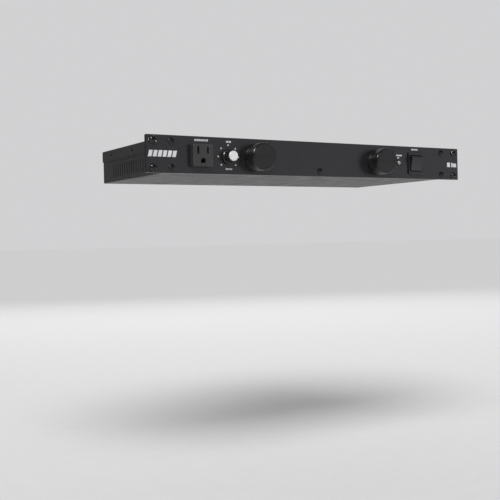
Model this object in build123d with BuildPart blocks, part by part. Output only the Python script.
from build123d import *

import os
from math import cos, radians, sin, sqrt

os.makedirs("parts", exist_ok=True)

# Rack power strip, one rack unit high, with a front outlet, two pull-out swivel lights, a dimmer, an
# indicator, a rocker switch, eight rear outlets and a resettable breaker. Millimetres.
# +X runs to the viewer's right, +Y to the rear and +Z up. The origin is the centre of the four rack
# screws, on the rear face of the front panel, where its ears meet the rack rails.


# ------------------------------------------------------------------ driving dimensions

# Rack standard
panel_width = 482.6
panel_height = 43.7
panel_thickness = 3.0
rack_hole_spacing_x = 465.1
rack_hole_spacing_z = 31.75
rack_slot_length = 10.3
rack_slot_width = 7.1
rack_thread_radius = 2.41

# Sheet-metal case behind the panel
chassis_width = 432.0
chassis_depth = 190.0
chassis_height = 42.0
sheet = 1.2
skirt_height = 12.8

# Places of the controls on the panel
controls_z = -0.8
outlet_x = -171.8
outlet_z = -0.6
dimmer_x = -134.0
light_x = 94.8
indicator_x = 132.0
indicator_z = -0.7
switch_x = 160.0
panel_screw_x = 209.5
panel_screw_z = 15.0

# Receptacles, front and rear
outlet_width = 26.5
outlet_height = 26.0
outlet_body_width = 24.0
outlet_body_height = 23.6
outlet_body_depth = 29.0
utility_flange = 8.0
rear_flange = 2.5
blade_spacing = 12.7
blade_rise = 5.6
ground_drop = 6.5
blade_slot_width = 2.3
neutral_slot_height = 8.7
line_slot_height = 7.1
ground_hole_radius = 3.1
ground_hole_flat = 2.5
outlet_edge = 0.45
rear_outlet_count = 8
rear_outlet_pitch = 41.0
first_rear_outlet_x = -182.0

# Pull-out lights: radii, then places along Y when pushed in
light_knob_radius = 16.8
collar_radius = 17.0
guide_bore = 13.0
guide_radius = 14.6
tube_radius = 12.9
tube_bore = 12.0
light_travel = 65.0
light_knob_front = -23.0
light_knob_rear = -9.2
light_knob_rim = 2.3
light_knob_grooves = (-18.0, -13.4)
groove_depth = 0.6
collar_front = -8.5
tube_rear = 76.0
guide_rear = 84.0

# Dimmer
dimmer_skirt_radius = 9.0
dimmer_cap_radius = 5.9
dimmer_front = -16.0
shaft_radius = 3.0

# Rocker switch
bezel_width = 24.0
bezel_height = 30.0
bezel_thickness = 2.4
housing_width = 22.4
housing_height = 26.2
rocker_width = 19.4
rocker_reach = 10.8
window_width = 20.0
window_height = 22.2
rocker_tilt = 12.0

# Rear panel parts
breaker_x = 146.0
gland_x = 188.0
cord_bore = 5.0

# Filter board and wires
board_width = 110.0
board_length = 70.0
board_centre_y = 85.0
board_thickness = 1.6
standoff_height = 5.8
wire_radius = 1.5
wire_bend = 4.5


# ------------------------------------------------------------------ derived places

panel_front = -panel_thickness
tray_x = chassis_width / 2 - sheet
case_floor = -chassis_height / 2
inner_floor = case_floor + sheet
case_top = chassis_height / 2
inner_top = case_top - sheet
rear_inside = chassis_depth - sheet
board_top = inner_floor + standoff_height + board_thickness
blade_z = outlet_z + blade_rise
ground_z = outlet_z - ground_drop
rear_outlet_xs = [first_rear_outlet_x + rear_outlet_pitch * i for i in range(rear_outlet_count)]
rack_points = [
    (side * rack_hole_spacing_x / 2, level * rack_hole_spacing_z / 2)
    for side in (-1, 1)
    for level in (-1, 1)
]
panel_screw_points = [(side * panel_screw_x, level * panel_screw_z) for side in (-1, 1) for level in (-1, 1)]
panel_screw_points.append((0, -panel_screw_z))
side_screw_ys = (30.0, 95.0, 160.0)
side_screw_z = inner_top - skirt_height / 2
top_screw_xs = (-140.0, 0.0, 140.0)
top_screw_y = rear_inside - 6.0


# ------------------------------------------------------------------ shared shapes


def facing_front(y):
    """Plane at depth y that faces the viewer: its x is X and its y is Z."""
    return Plane.XZ.offset(-y)


def facing_rear(x, y, z):
    """Plane at a point of the rear wall that faces backwards, with its x to the right of someone there."""
    return Plane(origin=(x, y, z), x_dir=(-1, 0, 0), z_dir=(0, 1, 0))


def turning_plane(x, z):
    """Plane for a half outline turned about the Y line through x, z: its x is the radius and its y is Y."""
    return Plane(origin=(x, 0, z), x_dir=(1, 0, 0), z_dir=(0, 0, 1))


def turn(x, z, outline, mode=Mode.ADD):
    """Turn a closed outline of (radius, y) points about the Y line through x, z."""
    with BuildSketch(turning_plane(x, z)) as profile:
        with BuildLine():
            Polyline(*outline, close=True)
        make_face()
    revolve(profile.sketch, axis=Axis((x, 0, z), (0, 1, 0)), mode=mode)


def block(xs, ys, zs, mode=Mode.ADD):
    """Add or cut a box from its limits along X, Y and Z."""
    centre = tuple((low + high) / 2 for low, high in (xs, ys, zs))
    with Locations(centre):
        Box(xs[1] - xs[0], ys[1] - ys[0], zs[1] - zs[0], mode=mode)


def hexagon_nut(plane, across_flats, bore, height):
    """Add a hexagon nut that stands on a plane."""
    with BuildSketch(plane) as outline:
        RegularPolygon(across_flats / 2, 6, major_radius=False)
        Circle(bore, mode=Mode.SUBTRACT)
    extrude(outline.sketch, amount=height)


def make_screw(head_radius, head_height, shank_radius, shank_length, recess, shoulder=(0, 0)):
    """Cross-head screw along Z, domed above z = 0. A shoulder is (radius, length) under the head."""
    rim = 0.35 * head_height
    rise = head_height - rim
    dome_radius = (rise**2 + head_radius**2) / (2 * rise)
    dome_mid = (0.5 * head_radius, head_height - dome_radius + sqrt(dome_radius**2 - 0.25 * head_radius**2))
    shoulder_radius = shoulder[0] or shank_radius
    shoulder_length = shoulder[1]
    with BuildPart() as screw:
        with BuildSketch(Plane.XZ):
            with BuildLine():
                Line((0, head_height), (0, -shank_length))
                Line((0, -shank_length), (shank_radius * 0.8, -shank_length))
                Line((shank_radius * 0.8, -shank_length), (shank_radius, -shank_length + 0.5))
                Line((shank_radius, -shank_length + 0.5), (shank_radius, -shoulder_length))
                if shoulder_length:
                    Line((shank_radius, -shoulder_length), (shoulder_radius, -shoulder_length))
                    Line((shoulder_radius, -shoulder_length), (shoulder_radius, 0))
                Line((shoulder_radius, 0), (head_radius, 0))
                Line((head_radius, 0), (head_radius, rim))
                ThreePointArc((head_radius, rim), dome_mid, (0, head_height))
            make_face()
        revolve(axis=Axis.Z)
        with BuildSketch(Plane.XY.offset(head_height)):
            Rectangle(recess, recess * 0.24)
            Rectangle(recess * 0.24, recess)
        extrude(amount=-0.6 * head_height, mode=Mode.SUBTRACT)
    return screw.part


# ------------------------------------------------------------------ front panel

with BuildPart() as front_panel:
    with BuildSketch(facing_front(0)):
        RectangleRounded(panel_width, panel_height, 1.0)
        with Locations(*rack_points):
            SlotOverall(rack_slot_length, rack_slot_width, mode=Mode.SUBTRACT)
        with Locations(*panel_screw_points):
            Circle(2.2, mode=Mode.SUBTRACT)
        with Locations((outlet_x, outlet_z)):
            Rectangle(outlet_body_width + 0.4, outlet_body_height + 0.4, mode=Mode.SUBTRACT)
        with Locations((dimmer_x, controls_z)):
            Circle(3.6, mode=Mode.SUBTRACT)
        with Locations((-light_x, controls_z), (light_x, controls_z)):
            Circle(guide_radius + 0.2, mode=Mode.SUBTRACT)
        with Locations((indicator_x, indicator_z)):
            Circle(3.25, mode=Mode.SUBTRACT)
        with Locations((switch_x, controls_z)):
            Rectangle(housing_width + 0.4, housing_height + 0.4, mode=Mode.SUBTRACT)
    extrude(amount=panel_thickness)
    front_edges = front_panel.faces().sort_by(Axis.Y)[0].outer_wire().edges()
    chamfer(front_edges, 0.4)

front_panel.part.label = "front_panel"
export_step(front_panel.part, "parts/front_panel.step")


# ------------------------------------------------------------------ chassis tray

lip_width = 15.0
earth_tab_x = 112.0
earth_tab_y = 139.0

with BuildPart() as chassis_tray:
    block((-tray_x, tray_x), (0, chassis_depth), (case_floor, inner_floor))
    block((-tray_x, tray_x), (rear_inside, chassis_depth), (case_floor, inner_top))
    for side in (-1, 1):
        wall = sorted((side * tray_x, side * (tray_x - sheet)))
        lip = sorted((side * tray_x, side * (tray_x - lip_width)))
        block(wall, (0, chassis_depth), (case_floor, inner_top))
        block(lip, (0, sheet), (case_floor, inner_top))
    # front tab for the middle panel screw, rear flange for the cover and a bent-up earthing tab
    block((-12, 12), (0, sheet), (case_floor, -10))
    block((-tray_x + 8, tray_x - 8), (rear_inside - 12, rear_inside), (inner_top - sheet, inner_top))
    block((earth_tab_x - 6, earth_tab_x + 6), (earth_tab_y, earth_tab_y + sheet), (inner_floor, -6))

    # holes in the front lips and in the rear wall
    with BuildSketch(facing_front(sheet)):
        with Locations(*panel_screw_points):
            Circle(2.0)
    extrude(amount=sheet, mode=Mode.SUBTRACT)
    with BuildSketch(facing_front(chassis_depth)):
        with Locations(*[(x, 0) for x in rear_outlet_xs]):
            Rectangle(outlet_body_width + 0.4, outlet_body_height + 0.4)
        with Locations((breaker_x, 0)):
            Circle(6.1)
        with Locations((gland_x, 0)):
            Circle(9.1)
    extrude(amount=sheet, mode=Mode.SUBTRACT)

    # cover screw holes and side ventilation slots
    with BuildSketch(Plane.YZ.offset(-tray_x)):
        with Locations(*[(y, side_screw_z) for y in side_screw_ys]):
            Circle(1.5)
        with Locations((chassis_depth / 2, -7.0)):
            with GridLocations(7.0, 1, 18, 1):
                SlotOverall(16.0, 2.4, rotation=90)
    extrude(amount=2 * tray_x, mode=Mode.SUBTRACT)
    with BuildSketch(Plane.XY.offset(inner_top)):
        with Locations(*[(x, top_screw_y) for x in top_screw_xs]):
            Circle(1.5)
    extrude(amount=-sheet, mode=Mode.SUBTRACT)

    # outside bend radius where the floor turns up into the sides and the rear wall
    floor_edges = chassis_tray.faces().sort_by(Axis.Z)[0].outer_wire().edges()
    fillet(floor_edges.filter_by(Axis.Y) + floor_edges.filter_by(Axis.X).sort_by(Axis.Y)[-1:], 1.1)

chassis_tray.part.label = "chassis_tray"
export_step(chassis_tray.part, "parts/chassis_tray.step")


# ------------------------------------------------------------------ top cover

with BuildPart() as top_cover:
    half_width = chassis_width / 2
    block((-half_width, half_width), (0, chassis_depth), (inner_top, case_top))
    for side in (-1, 1):
        skirt = sorted((side * half_width, side * (half_width - sheet)))
        block(skirt, (0, chassis_depth), (inner_top - skirt_height, case_top))
    top_edges = top_cover.faces().sort_by(Axis.Z)[-1].outer_wire().edges()
    fillet(top_edges.filter_by(Axis.Y), 1.1)
    with BuildSketch(Plane.YZ.offset(-half_width)):
        with Locations(*[(y, side_screw_z) for y in side_screw_ys]):
            Circle(1.7)
    extrude(amount=2 * half_width, mode=Mode.SUBTRACT)
    with BuildSketch(Plane.XY.offset(case_top)):
        with Locations(*[(x, top_screw_y) for x in top_screw_xs]):
            Circle(1.7)
        with Locations((0, board_centre_y)):
            with GridLocations(6.5, 44.0, 16, 2):
                SlotOverall(34.0, 2.6, rotation=90)
    extrude(amount=-sheet, mode=Mode.SUBTRACT)

top_cover.part.label = "top_cover"
export_step(top_cover.part, "parts/top_cover.step")


# ------------------------------------------------------------------ fasteners of the case

panel_screw = make_screw(3.9, 2.2, 2.0, 9.0, 4.4)
with BuildPart() as panel_screws:
    with Locations(*[Plane(origin=(x, panel_front, z), z_dir=(0, -1, 0)) for x, z in panel_screw_points]):
        add(panel_screw)

panel_screws.part.label = "panel_screws"
export_step(panel_screws.part, "parts/panel_screws.step")

cover_screw = make_screw(3.0, 0.8, 1.5, 5.0, 3.2)
side_screw_planes = [
    Plane(origin=(side * chassis_width / 2, y, side_screw_z), z_dir=(side, 0, 0))
    for side in (-1, 1)
    for y in side_screw_ys
]
top_screw_planes = [Plane(origin=(x, top_screw_y, case_top), z_dir=(0, 0, 1)) for x in top_screw_xs]
with BuildPart() as cover_screws:
    with Locations(*side_screw_planes, *top_screw_planes):
        add(cover_screw)

cover_screws.part.label = "cover_screws"
export_step(cover_screws.part, "parts/cover_screws.step")

# The shoulder stands in the panel's slot, and the thread starts at the panel's rear face.
rack_screw = make_screw(4.9, 2.9, rack_thread_radius, 15.0, 5.4, shoulder=(2.7, panel_thickness))
with BuildPart() as rack_screws:
    with Locations(*[Plane(origin=(x, panel_front, z), z_dir=(0, -1, 0)) for x, z in rack_points]):
        add(rack_screw)

rack_screws.part.label = "rack_screws"
export_step(rack_screws.part, "parts/rack_screws.step")


# ------------------------------------------------------------------ receptacles

cavity_width = 4.6
cavity_height = 9.6
ground_cavity = 8.0
cavity_start = 6.0
leaf_thickness = 0.7
leaf_length = 20.0
blade_leaf_height = 7.0
blade_leaf_gap = 1.8
ground_leaf_gap = 4.9
contact_thickness = 0.8
contact_width = 4.2


def outlet_body(face, flange):
    """Three-pin receptacle behind a face plane centred on it: flange, body, slots and contact cavities."""
    back = flange + outlet_body_depth
    with BuildSketch(face) as flange_outline:
        RectangleRounded(outlet_width, outlet_height, 1.2)
    extrude(flange_outline.sketch, amount=-flange)
    with BuildSketch(face) as body_outline:
        RectangleRounded(outlet_body_width, outlet_body_height, 1.0)
    extrude(body_outline.sketch, amount=-back)
    with BuildSketch(face) as openings:
        with Locations((-blade_spacing / 2, blade_rise)):
            Rectangle(blade_slot_width, neutral_slot_height)
        with Locations((blade_spacing / 2, blade_rise)):
            Rectangle(blade_slot_width, line_slot_height)
        # the ground hole is an arch: round above and flat below
        with Locations((0, -ground_drop)):
            Circle(ground_hole_radius)
        with Locations((0, -ground_drop - ground_hole_flat)):
            Rectangle(4 * ground_hole_radius, 2 * ground_hole_flat, mode=Mode.SUBTRACT)
        with Locations((0, -ground_drop - ground_hole_flat / 2)):
            Rectangle(2 * ground_hole_radius, ground_hole_flat)
    extrude(openings.sketch, amount=-back, mode=Mode.SUBTRACT)
    with BuildSketch(face.offset(-cavity_start - flange)) as cavities:
        with Locations((-blade_spacing / 2, blade_rise), (blade_spacing / 2, blade_rise)):
            Rectangle(cavity_width, cavity_height)
        with Locations((0, -ground_drop)):
            Rectangle(ground_cavity, ground_cavity)
    extrude(cavities.sketch, amount=-outlet_body_depth, mode=Mode.SUBTRACT)


def contact(back, u, v, leaf_gap, tail_low, tail_high):
    """Spring contact on a receptacle's back plane: two leaves reaching into its cavity, and a tail."""
    offset_u = (leaf_gap + leaf_thickness) / 2
    with BuildSketch(back) as leaves:
        with Locations((u - offset_u, v), (u + offset_u, v)):
            Rectangle(leaf_thickness, blade_leaf_height)
    extrude(leaves.sketch, amount=leaf_length)
    width = max(contact_width, leaf_gap + 2 * leaf_thickness)
    with BuildSketch(back) as tail:
        with Locations((u, (tail_low + tail_high) / 2)):
            Rectangle(width, tail_high - tail_low)
    extrude(tail.sketch, amount=-contact_thickness)


utility_front = panel_front - utility_flange
utility_face = Plane(origin=(outlet_x, utility_front, outlet_z), x_dir=(1, 0, 0), z_dir=(0, -1, 0))
with BuildPart() as utility_outlet:
    outlet_body(utility_face, utility_flange)
    # bevelled rim, and lead-ins for the plug's pins
    chamfer(utility_outlet.faces().sort_by(Axis.Y)[0].edges(), outlet_edge)

utility_outlet.part.label = "utility_outlet"
export_step(utility_outlet.part, "parts/utility_outlet.step")

utility_back = utility_face.offset(-utility_flange - outlet_body_depth)
with BuildPart() as utility_contacts:
    contact(utility_back, -blade_spacing / 2, blade_rise, blade_leaf_gap, 2.6, 9.8)
    contact(utility_back, blade_spacing / 2, blade_rise, blade_leaf_gap, 2.6, 9.8)
    contact(utility_back, 0, -ground_drop, ground_leaf_gap, -11.4, -2.4)

utility_contacts.part.label = "utility_contacts"
export_step(utility_contacts.part, "parts/utility_contacts.step")

for number, x in enumerate(rear_outlet_xs, start=1):
    with BuildPart() as rear_outlet:
        outlet_body(facing_rear(x, chassis_depth + rear_flange, 0), rear_flange)
        chamfer(rear_outlet.faces().sort_by(Axis.Y)[-1].edges(), outlet_edge)
    rear_outlet.part.label = f"rear_outlet_{number}"
    export_step(rear_outlet.part, f"parts/rear_outlet_{number}.step")


# ------------------------------------------------------------------ bus bars behind the rear outlets

bus_y = chassis_depth - outlet_body_depth
bus_overhang = 9.0
bus_height = 4.0
neutral_bus_z = 10.5
line_bus_z = 0.6
ground_bus_z = -10.2


def bus_bar(u, v, leaf_gap, bar_z, tail_low, tail_high):
    """One strip along X with a spring contact for every rear outlet."""
    with BuildSketch(facing_rear(0, bus_y, 0)) as bar:
        bar_centre = -(rear_outlet_xs[0] + rear_outlet_xs[-1]) / 2
        with Locations((bar_centre, bar_z)):
            Rectangle(rear_outlet_xs[-1] - rear_outlet_xs[0] + 2 * bus_overhang, bus_height)
    extrude(bar.sketch, amount=-contact_thickness)
    for x in rear_outlet_xs:
        contact(facing_rear(x, bus_y, 0), u, v, leaf_gap, tail_low, tail_high)


with BuildPart() as neutral_bus:
    neutral_top = neutral_bus_z + bus_height / 2
    bus_bar(-blade_spacing / 2, blade_rise, blade_leaf_gap, neutral_bus_z, 3.6, neutral_top)

neutral_bus.part.label = "neutral_bus"
export_step(neutral_bus.part, "parts/neutral_bus.step")

with BuildPart() as line_bus:
    line_bottom = line_bus_z - bus_height / 2
    bus_bar(blade_spacing / 2, blade_rise, blade_leaf_gap, line_bus_z, line_bottom, 7.6)

line_bus.part.label = "line_bus"
export_step(line_bus.part, "parts/line_bus.step")

with BuildPart() as ground_bus:
    ground_bottom = ground_bus_z - bus_height / 2
    bus_bar(0, -ground_drop, ground_leaf_gap, ground_bus_z, ground_bottom, -2.4)

ground_bus.part.label = "ground_bus"
export_step(ground_bus.part, "parts/ground_bus.step")


# ------------------------------------------------------------------ dimmer

with BuildPart() as dimmer_knob:
    turn(
        dimmer_x,
        controls_z,
        [
            (6.4, -3.7),
            (dimmer_skirt_radius, -3.7),
            (dimmer_skirt_radius, -5.2),
            (dimmer_skirt_radius - 0.6, -6.0),
            (7.9, -6.4),
            (7.2, dimmer_front + 1.4),
            (6.6, dimmer_front + 0.8),
            (0, dimmer_front + 0.8),
            (0, -14.0),
            (shaft_radius + 0.02, -14.0),
            (shaft_radius + 0.02, -8.6),
            (6.4, -8.6),
        ],
    )
    with BuildSketch(facing_front(-6.6)):
        with Locations((dimmer_x, controls_z)):
            with PolarLocations(8.1, 20):
                Circle(0.65)
    extrude(amount=12.0, mode=Mode.SUBTRACT)

dimmer_knob.part.label = "dimmer_knob"
export_step(dimmer_knob.part, "parts/dimmer_knob.step")

with BuildPart() as dimmer_cap:
    with BuildSketch(facing_front(dimmer_front + 0.8)):
        with Locations((dimmer_x, controls_z)):
            Circle(dimmer_cap_radius)
    extrude(amount=0.8)
    chamfer(dimmer_cap.edges().sort_by(Axis.Y)[0], 0.25)
    with BuildSketch(facing_front(dimmer_front)):
        with Locations((dimmer_x, controls_z + 3.6)):
            Rectangle(0.6, 3.4)
    extrude(amount=-0.25, mode=Mode.SUBTRACT)

dimmer_cap.part.label = "dimmer_cap"
export_step(dimmer_cap.part, "parts/dimmer_cap.step")

with BuildPart() as dimmer_shaft:
    turn(dimmer_x, controls_z, [(0, -14.0), (shaft_radius, -14.0), (shaft_radius, 6.8), (0, 6.8)])

dimmer_shaft.part.label = "dimmer_shaft"
export_step(dimmer_shaft.part, "parts/dimmer_shaft.step")

pot_radius = 12.0
pot_rear = 9.0
dimmer_board_front = 12.0
dimmer_board_rear = dimmer_board_front + board_thickness

with BuildPart() as dimmer_pot:
    bore = shaft_radius + 0.08
    turn(
        dimmer_x,
        controls_z,
        [
            (bore, -7.0),
            (3.5, -7.0),
            (3.5, 0),
            (pot_radius, 0),
            (pot_radius, pot_rear),
            (0, pot_rear),
            (0, 7.0),
            (bore, 7.0),
        ],
    )
    with BuildSketch(facing_front(dimmer_board_rear)):
        with Locations((dimmer_x, controls_z - 8.0)):
            with GridLocations(5.0, 1, 3, 1):
                Circle(0.6)
    extrude(amount=dimmer_board_rear - pot_rear)

dimmer_pot.part.label = "dimmer_pot"
export_step(dimmer_pot.part, "parts/dimmer_pot.step")

with BuildPart() as dimmer_nut:
    nut_plane = Plane(origin=(dimmer_x, panel_front, controls_z), x_dir=(1, 0, 0), z_dir=(0, -1, 0))
    hexagon_nut(nut_plane, 10.0, 3.5, 2.0)

dimmer_nut.part.label = "dimmer_nut"
export_step(dimmer_nut.part, "parts/dimmer_nut.step")

with BuildPart() as dimmer_board:
    with BuildSketch(facing_front(dimmer_board_rear)):
        with Locations((dimmer_x, controls_z)):
            Rectangle(34.0, 30.0)
        with Locations((dimmer_x, controls_z - 8.0)):
            with GridLocations(5.0, 1, 3, 1):
                Circle(0.6, mode=Mode.SUBTRACT)
    extrude(amount=board_thickness)

dimmer_board.part.label = "dimmer_board"
export_step(dimmer_board.part, "parts/dimmer_board.step")

with BuildPart() as dimmer_heatsink:
    sink_z = controls_z + 4.0
    sink_zs = (sink_z - 9, sink_z + 9)
    block((dimmer_x - 13, dimmer_x + 13), (dimmer_board_rear, dimmer_board_rear + 2.5), sink_zs)
    for step in range(7):
        fin_x = dimmer_x - 13 + step * 4.0
        block((fin_x, fin_x + 2.0), (dimmer_board_rear, dimmer_board_rear + 16.0), sink_zs)

dimmer_heatsink.part.label = "dimmer_heatsink"
export_step(dimmer_heatsink.part, "parts/dimmer_heatsink.step")


# ------------------------------------------------------------------ pull-out swivel lights

key_width = 2.8
key_slot_start = 11.0
carrier_front = 50.0
carrier_flange = 76.1
carrier_rear = 80.1
lip_bore = 11.2
lip_front = 74.0
neck_radius = lip_bore - 0.08
swivel_limit = 90.0
stop_half_angle = 10.0
lamp_top = 52.0
lamp_tip = 19.0


def bulb_outline(inset):
    """Half outline of the lamp glass as (radius, y) points from neck to tip, moved in by an inset."""
    return [
        (5.4 - inset, lamp_top),
        (6.0 - inset, lamp_top - 6.0),
        (8.7 - inset, lamp_top - 14.0),
        (9.4 - inset, lamp_top - 21.0),
        (7.2 - inset, lamp_tip + 4.6 + 0.4 * inset),
        (0, lamp_tip + inset),
    ]


def bulb(x, inset, mode):
    """Turn the lamp glass outline about the light's axis."""
    points = bulb_outline(inset)
    with BuildSketch(turning_plane(x, controls_z)) as profile:
        with BuildLine():
            Spline(*points, tangents=[(0, -1), (-1, 0)])
            Line(points[-1], (0, lamp_top))
            Line((0, lamp_top), points[0])
        make_face()
    revolve(profile.sketch, axis=Axis((x, 0, controls_z), (0, 1, 0)), mode=mode)


def ring_sector(x, inner, outer, angle, mode):
    """Add or cut a piece of a ring at the tube's lip, centred on straight up."""
    half = radians(angle / 2)
    left_end = (-outer * sin(half), outer * cos(half))
    right_end = (outer * sin(half), outer * cos(half))
    with BuildSketch(Plane(origin=(x, tube_rear, controls_z), x_dir=(1, 0, 0), z_dir=(0, -1, 0))) as piece:
        with BuildLine():
            Line((0, 0), left_end)
            ThreePointArc(left_end, (0, outer), right_end)
            Line(right_end, (0, 0))
        make_face()
        Circle(inner, mode=Mode.SUBTRACT)
    extrude(piece.sketch, amount=tube_rear - lip_front, mode=mode)


for side_name, x in (("left", -light_x), ("right", light_x)):
    with BuildPart() as light_guide:
        turn(
            x,
            controls_z,
            [
                (guide_bore, collar_front),
                (collar_radius - 0.9, collar_front),
                (collar_radius - 0.25, collar_front + 0.25),
                (collar_radius, collar_front + 0.9),
                (collar_radius, panel_front),
                (guide_radius, panel_front),
                (guide_radius, 0.1),
                (guide_radius + 0.8, 0.1),
                (guide_radius, 2.2),
                (guide_radius, guide_rear),
                (guide_bore, guide_rear),
            ],
        )
        # key slot along the bottom, which stops the lamp carrier turning and ends its travel
        key_slot = key_width + 0.6
        slot_depths = (controls_z - guide_radius - 1, controls_z - guide_bore + 1)
        block((x - key_slot / 2, x + key_slot / 2), (key_slot_start, guide_rear), slot_depths, Mode.SUBTRACT)
    light_guide.part.label = f"light_guide_{side_name}"
    export_step(light_guide.part, f"parts/light_guide_{side_name}.step")

    with BuildPart() as light_tube:
        turn(
            x,
            controls_z,
            [
                (tube_bore, -12.0),
                (tube_radius, -12.0),
                (tube_radius, tube_rear),
                (lip_bore, tube_rear),
                (lip_bore, lip_front),
                (tube_bore, lip_front),
            ],
        )
        # gap in the rear lip, whose ends meet the carrier's stop and limit the swivel
        gap_angle = 2 * (swivel_limit + stop_half_angle + 0.3)
        ring_sector(x, lip_bore - 1.0, tube_bore, gap_angle, Mode.SUBTRACT)
        # window that lets the light out over 140 degrees
        window_plane = Plane(origin=(x, 23.0, controls_z - 4.4), z_dir=(0, 0, -1))
        with BuildSketch(window_plane):
            RectangleRounded(30.0, 54.0, 3.0)
        extrude(amount=12.0, mode=Mode.SUBTRACT)
    light_tube.part.label = f"light_tube_{side_name}"
    export_step(light_tube.part, f"parts/light_tube_{side_name}.step")

    with BuildPart() as light_knob:
        grooves = []
        for groove_y in light_knob_grooves:
            grooves += [
                (light_knob_radius, groove_y - 0.75),
                (light_knob_radius - groove_depth, groove_y - 0.45),
                (light_knob_radius - groove_depth, groove_y + 0.05),
                (light_knob_radius, groove_y + 0.35),
            ]
        turn(
            x,
            controls_z,
            [
                (0, light_knob_front),
                (light_knob_radius, light_knob_front),
                *grooves,
                (light_knob_radius, light_knob_rear),
                (tube_radius + 0.05, light_knob_rear),
                (tube_radius + 0.05, -12.0),
                (tube_bore - 0.05, -12.0),
                (tube_bore - 0.05, light_knob_rear),
                (0, light_knob_rear),
            ],
        )
        fillet(light_knob.faces().sort_by(Axis.Y)[0].outer_wire().edges(), light_knob_rim)
    light_knob.part.label = f"light_knob_{side_name}"
    export_step(light_knob.part, f"parts/light_knob_{side_name}.step")

    with BuildPart() as lamp_carrier:
        turn(
            x,
            controls_z,
            [
                (6.15, carrier_front),
                (8.2, carrier_front),
                (8.2, 70.0),
                (tube_bore - 0.08, 70.0),
                (tube_bore - 0.08, lip_front - 0.1),
                (neck_radius, lip_front - 0.1),
                (neck_radius, carrier_flange),
                (tube_radius, carrier_flange),
                (tube_radius, carrier_rear),
                (5.0, carrier_rear),
                (5.0, guide_rear),
                (0, guide_rear),
                (0, 68.0),
                (6.15, 68.0),
            ],
        )
        key_depths = (controls_z - 14.2, controls_z - 12.0)
        block((x - key_width / 2, x + key_width / 2), (carrier_flange, carrier_rear), key_depths)
        ring_sector(x, lip_bore - 2.0, tube_bore - 0.1, 2 * stop_half_angle, Mode.ADD)
    lamp_carrier.part.label = f"lamp_carrier_{side_name}"
    export_step(lamp_carrier.part, f"parts/lamp_carrier_{side_name}.step")

    with BuildPart() as lamp_base:
        threads = []
        for crest in range(5):
            start = lamp_top + 1.0 + 2.4 * crest
            threads += [(5.6, start), (6.0, start + 0.8), (6.0, start + 1.2), (5.6, start + 2.0)]
        turn(
            x,
            controls_z,
            [(0, lamp_top), (5.4, lamp_top)] + threads + [(5.2, 65.0), (2.4, 66.4), (1.6, 68.0), (0, 68.0)],
        )
    lamp_base.part.label = f"lamp_base_{side_name}"
    export_step(lamp_base.part, f"parts/lamp_base_{side_name}.step")

    with BuildPart() as lamp_glass:
        bulb(x, 0, Mode.ADD)
        bulb(x, 0.6, Mode.SUBTRACT)
    lamp_glass.part.label = f"lamp_glass_{side_name}"
    export_step(lamp_glass.part, f"parts/lamp_glass_{side_name}.step")


# ------------------------------------------------------------------ indicator

with BuildPart() as indicator_bezel:
    turn(
        indicator_x,
        indicator_z,
        [
            (2.75, -3.9),
            (3.6, -3.9),
            (4.0, -3.5),
            (4.0, panel_front),
            (3.2, panel_front),
            (3.2, 2.0),
            (2.75, 2.0),
        ],
    )

indicator_bezel.part.label = "indicator_bezel"
export_step(indicator_bezel.part, "parts/indicator_bezel.step")

with BuildPart() as indicator_lens:
    with BuildSketch(turning_plane(indicator_x, indicator_z)):
        with BuildLine():
            Line((0, 6.0), (0, -5.0))
            ThreePointArc((0, -5.0), (1.9, -4.4), (2.7, -3.2))
            Line((2.7, -3.2), (2.7, 2.0))
            Line((2.7, 2.0), (3.2, 2.0))
            Line((3.2, 2.0), (3.2, 6.0))
            Line((3.2, 6.0), (0, 6.0))
        make_face()
    revolve(axis=Axis((indicator_x, 0, indicator_z), (0, 1, 0)))

indicator_lens.part.label = "indicator_lens"
export_step(indicator_lens.part, "parts/indicator_lens.step")


# ------------------------------------------------------------------ rocker switch

bezel_front = panel_front - bezel_thickness
pivot_y = bezel_front + 2.5
cavity_floor = 2.3
window_z = controls_z - 0.14
housing_rear = 22.0
pin_radius = 1.2

with BuildPart() as switch_housing:
    with BuildSketch(facing_front(panel_front)):
        with Locations((switch_x, controls_z)):
            RectangleRounded(bezel_width, bezel_height, 1.5)
    extrude(amount=bezel_thickness)
    chamfer(switch_housing.faces().sort_by(Axis.Y)[0].outer_wire().edges(), 0.5)
    with BuildSketch(facing_front(housing_rear)):
        with Locations((switch_x, controls_z)):
            Rectangle(housing_width, housing_height)
    extrude(amount=housing_rear - panel_front)
    # snap tabs above and below, behind the panel
    for side in (-1, 1):
        tab_root = controls_z + side * housing_height / 2
        block((switch_x - 4, switch_x + 4), (0.2, 5.0), sorted((tab_root, tab_root + side * 1.2)))
    with BuildSketch(facing_front(bezel_front)):
        with Locations((switch_x, window_z)):
            Rectangle(window_width, window_height)
    extrude(amount=bezel_front - cavity_floor, mode=Mode.SUBTRACT)
    pivot_plane = Plane(origin=(switch_x - 10.7, pivot_y, window_z), z_dir=(1, 0, 0))
    with BuildSketch(pivot_plane):
        Circle(pin_radius + 0.06)
    extrude(amount=21.4, mode=Mode.SUBTRACT)

switch_housing.part.label = "switch_housing"
export_step(switch_housing.part, "parts/switch_housing.step")

# The rocker rests with its bottom pressed in and its top standing out. Its face is dished, and its ends
# are arcs about the pivot, so they clear the window.
tilt = radians(rocker_tilt)
rocker_plane = Plane(
    origin=(switch_x + rocker_width / 2, pivot_y, window_z),
    x_dir=(0, -cos(tilt), -sin(tilt)),
    z_dir=(-1, 0, 0),
)
tip_rise = 6.0
middle_rise = 5.4
back_drop = 2.6
tip_z = sqrt(rocker_reach**2 - tip_rise**2)
back_z = sqrt(rocker_reach**2 - back_drop**2)

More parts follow.
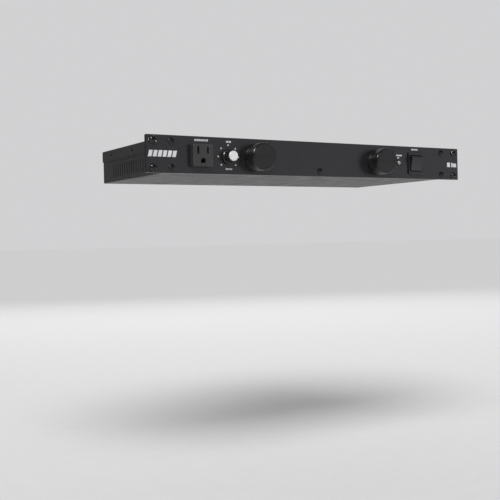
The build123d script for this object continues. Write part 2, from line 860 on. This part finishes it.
with BuildPart() as switch_rocker:
    with BuildSketch(rocker_plane):
        with BuildLine():
            ThreePointArc((tip_rise, -tip_z), (middle_rise, 0), (tip_rise, tip_z))
            ThreePointArc((tip_rise, tip_z), (0, rocker_reach), (-back_drop, back_z))
            Line((-back_drop, back_z), (-back_drop, -back_z))
            ThreePointArc((-back_drop, -back_z), (0, -rocker_reach), (tip_rise, -tip_z))
        make_face()
    extrude(amount=rocker_width)
    fillet(switch_rocker.faces().sort_by(Axis.Y)[0].edges(), 0.5)
    with BuildSketch(Plane(origin=(switch_x - 10.5, pivot_y, window_z), z_dir=(1, 0, 0))):
        Circle(pin_radius)
    extrude(amount=21.0)

switch_rocker.part.label = "switch_rocker"
export_step(switch_rocker.part, "parts/switch_rocker.step")

terminal_xs = (switch_x - 5.5, switch_x + 5.5)
terminal_zs = (controls_z - 6.5, controls_z + 6.5)
terminal_rear = 31.0
with BuildPart() as switch_terminals:
    for tx in terminal_xs:
        for tz in terminal_zs:
            block((tx - 0.4, tx + 0.4), (housing_rear, terminal_rear), (tz - 3.15, tz + 3.15))

switch_terminals.part.label = "switch_terminals"
export_step(switch_terminals.part, "parts/switch_terminals.step")


# ------------------------------------------------------------------ breaker

breaker_front = rear_inside - 25.0
breaker_tab_front = breaker_front - 7.8
button_radius = 4.0

with BuildPart() as breaker_body:
    block((breaker_x - 7.5, breaker_x + 7.5), (breaker_front, rear_inside), (-15.0, 15.0))
    neck_end = chassis_depth + 7.0
    turn(breaker_x, 0, [(0, rear_inside), (6.0, rear_inside), (6.0, neck_end), (0, neck_end)])
    for tab_x in (breaker_x - 4.0, breaker_x + 4.0):
        block((tab_x - 0.4, tab_x + 0.4), (breaker_tab_front, breaker_front), (-3.15, 3.15))
    chamber = [(0, 173.9), (5.2, 173.9), (5.2, 180.6), (button_radius + 0.1, 180.6)]
    turn(breaker_x, 0, chamber + [(button_radius + 0.1, 198.0), (0, 198.0)], Mode.SUBTRACT)

breaker_body.part.label = "breaker_body"
export_step(breaker_body.part, "parts/breaker_body.step")

with BuildPart() as breaker_nut:
    hexagon_nut(facing_rear(breaker_x, chassis_depth, 0), 15.0, 6.0, 2.5)

breaker_nut.part.label = "breaker_nut"
export_step(breaker_nut.part, "parts/breaker_nut.step")

with BuildPart() as reset_button:
    turn(
        breaker_x,
        0,
        [
            (0, 174.0),
            (4.9, 174.0),
            (4.9, 176.5),
            (button_radius, 176.5),
            (button_radius, 199.2),
            (button_radius - 0.8, 200.0),
            (0, 200.0),
        ],
    )

reset_button.part.label = "reset_button"
export_step(reset_button.part, "parts/reset_button.step")


# ------------------------------------------------------------------ cord gland

gland_thread = 9.0
gland_mouth = 208.0

with BuildPart() as gland_body:
    hexagon_nut(facing_rear(gland_x, chassis_depth, 0), 22.0, 6.5, 5.0)
    turn(
        gland_x,
        0,
        [
            (6.5, 180.0),
            (gland_thread, 180.0),
            (gland_thread, 203.0),
            (7.6, 203.0),
            (7.6, 197.0),
            (6.5, 197.0),
        ],
    )

gland_body.part.label = "gland_body"
export_step(gland_body.part, "parts/gland_body.step")

with BuildPart() as gland_seal:
    turn(gland_x, 0, [(cord_bore, 197.0), (7.4, 197.0), (7.4, 204.5), (5.7, 206.0), (cord_bore, 206.0)])

gland_seal.part.label = "gland_seal"
export_step(gland_seal.part, "parts/gland_seal.step")

with BuildPart() as gland_dome_nut:
    hexagon_nut(facing_rear(gland_x, chassis_depth + 5.6, 0), 22.0, gland_thread, 7.0)
    turn(
        gland_x,
        0,
        [
            (gland_thread, 202.6),
            (11.0, 202.6),
            (10.6, 205.0),
            (9.4, 207.0),
            (7.4, gland_mouth),
            (5.6, gland_mouth),
            (5.6, 206.2),
            (gland_thread, 203.4),
        ],
    )

gland_dome_nut.part.label = "gland_dome_nut"
export_step(gland_dome_nut.part, "parts/gland_dome_nut.step")

with BuildPart() as gland_lock_nut:
    hexagon_nut(facing_rear(gland_x, rear_inside - 4.5, 0), 24.0, gland_thread, 4.5)

gland_lock_nut.part.label = "gland_lock_nut"
export_step(gland_lock_nut.part, "parts/gland_lock_nut.step")


# ------------------------------------------------------------------ surge and noise filter board

board_bottom = inner_floor + standoff_height
board_plane = Plane(origin=(0, board_centre_y, board_bottom))
corner_spacing = (board_width - 10.0, board_length - 10.0)

with BuildPart() as board_standoffs:
    with BuildSketch(Plane(origin=(0, board_centre_y, inner_floor))):
        with GridLocations(*corner_spacing, 2, 2):
            RegularPolygon(2.75, 6, major_radius=False)
            Circle(1.5, mode=Mode.SUBTRACT)
    extrude(amount=standoff_height)

board_standoffs.part.label = "board_standoffs"
export_step(board_standoffs.part, "parts/board_standoffs.step")

with BuildPart() as filter_board:
    with BuildSketch(board_plane):
        RectangleRounded(board_width, board_length, 2.0)
        with GridLocations(*corner_spacing, 2, 2):
            Circle(1.6, mode=Mode.SUBTRACT)
    extrude(amount=board_thickness)

filter_board.part.label = "filter_board"
export_step(filter_board.part, "parts/filter_board.step")

board_screw = make_screw(2.8, 1.7, 1.5, 6.0, 3.1)
with BuildPart() as board_screws:
    with Locations(Plane(origin=(0, board_centre_y, board_top))):
        with GridLocations(*corner_spacing, 2, 2):
            add(board_screw)

board_screws.part.label = "board_screws"
export_step(board_screws.part, "parts/board_screws.step")

varistor_radius = 7.0
varistor_z = board_top + 2.0 + varistor_radius
with BuildPart() as varistors:
    for disc_x in (-20.0, 0.0, 20.0):
        with BuildSketch(Plane(origin=(disc_x - 2.2, 98.0, varistor_z), z_dir=(1, 0, 0))):
            Circle(varistor_radius)
        extrude(amount=4.4)
        for lead_y in (94.2, 101.8):
            with Locations((disc_x, lead_y, board_top + 2.5)):
                Cylinder(0.45, 5.0)

varistors.part.label = "varistors"
export_step(varistors.part, "parts/varistors.step")

with BuildPart() as filter_capacitor:
    block((-38.0, -12.0), (60.0, 76.0), (board_top, board_top + 18.0))
    fillet(filter_capacitor.edges().filter_by(Axis.Z), 1.0)
    fillet(filter_capacitor.faces().sort_by(Axis.Z)[-1].edges(), 0.8)

filter_capacitor.part.label = "filter_capacitor"
export_step(filter_capacitor.part, "parts/filter_capacitor.step")

choke_x = 26.0
choke_y = 70.0
choke_ring_radius = 11.5
choke_core_radius = 3.8
winding_radius = 0.9
winding_loop = choke_core_radius + 0.1 + winding_radius
choke_z = board_top + winding_loop + winding_radius

with BuildPart() as choke_core:
    with Locations((choke_x, choke_y, choke_z)):
        Torus(choke_ring_radius, choke_core_radius)

choke_core.part.label = "choke_core"
export_step(choke_core.part, "parts/choke_core.step")

with BuildPart() as choke_windings:
    for half in (0, 180):
        for turn_number in range(8):
            angle = half + 22.0 + turn_number * 19.4
            bearing = radians(angle)
            ring_centre = (
                choke_x + choke_ring_radius * cos(bearing),
                choke_y + choke_ring_radius * sin(bearing),
                choke_z,
            )
            with Locations(Plane(origin=ring_centre, z_dir=(-sin(bearing), cos(bearing), 0))):
                Torus(winding_loop, winding_radius)

choke_windings.part.label = "choke_windings"
export_step(choke_windings.part, "parts/choke_windings.step")


# ------------------------------------------------------------------ wires

bus_front = bus_y - contact_thickness
contact_rear = panel_front + outlet_body_depth + contact_thickness


def wire(*route):
    """Insulated wire along straight runs with rounded corners."""
    with BuildLine() as path:
        if len(route) > 2:
            FilletPolyline(*route, radius=wire_bend)
        else:
            Line(*route)
    with BuildSketch(Plane(origin=path.line @ 0, z_dir=path.line % 0)) as section:
        Circle(wire_radius)
    sweep(section.sketch, path=path.line)


with BuildPart() as line_wires:
    # breaker to switch, switch to board, board to bus bar, board to front outlet
    wire(
        (breaker_x - 4.0, breaker_tab_front, 0),
        (breaker_x - 4.0, 120.0, 0),
        (terminal_xs[0], 66.0, terminal_zs[1]),
        (terminal_xs[0], terminal_rear, terminal_zs[1]),
    )
    wire(
        (terminal_xs[0], terminal_rear, terminal_zs[0]),
        (terminal_xs[0], 96.0, terminal_zs[0]),
        (50.0, 96.0, terminal_zs[0]),
        (50.0, 96.0, board_top),
    )
    wire((30.0, 114.0, board_top), (30.0, 114.0, line_bus_z), (30.0, bus_front, line_bus_z))
    utility_line_x = outlet_x + blade_spacing / 2
    wire(
        (-50.0, 90.0, board_top),
        (-50.0, 90.0, blade_z),
        (utility_line_x, 90.0, blade_z),
        (utility_line_x, contact_rear, blade_z),
    )

line_wires.part.label = "line_wires"
export_step(line_wires.part, "parts/line_wires.step")

with BuildPart() as neutral_wires:
    # board to bus bar, board to front outlet
    wire((-30.0, 114.0, board_top), (-30.0, 114.0, neutral_bus_z), (-30.0, bus_front, neutral_bus_z))
    utility_neutral_x = outlet_x - blade_spacing / 2
    wire(
        (-50.0, 100.0, board_top),
        (-50.0, 100.0, blade_z),
        (utility_neutral_x, 100.0, blade_z),
        (utility_neutral_x, contact_rear, blade_z),
    )

neutral_wires.part.label = "neutral_wires"
export_step(neutral_wires.part, "parts/neutral_wires.step")

with BuildPart() as ground_wires:
    # bus bar to earthing tab, earthing tab to front outlet
    wire((earth_tab_x, bus_front, ground_bus_z), (earth_tab_x, earth_tab_y + sheet, ground_bus_z))
    wire(
        (earth_tab_x, earth_tab_y, ground_bus_z),
        (earth_tab_x, 130.0, ground_bus_z),
        (outlet_x, 130.0, ground_bus_z),
        (outlet_x, contact_rear, ground_bus_z),
    )

ground_wires.part.label = "ground_wires"
export_step(ground_wires.part, "parts/ground_wires.step")
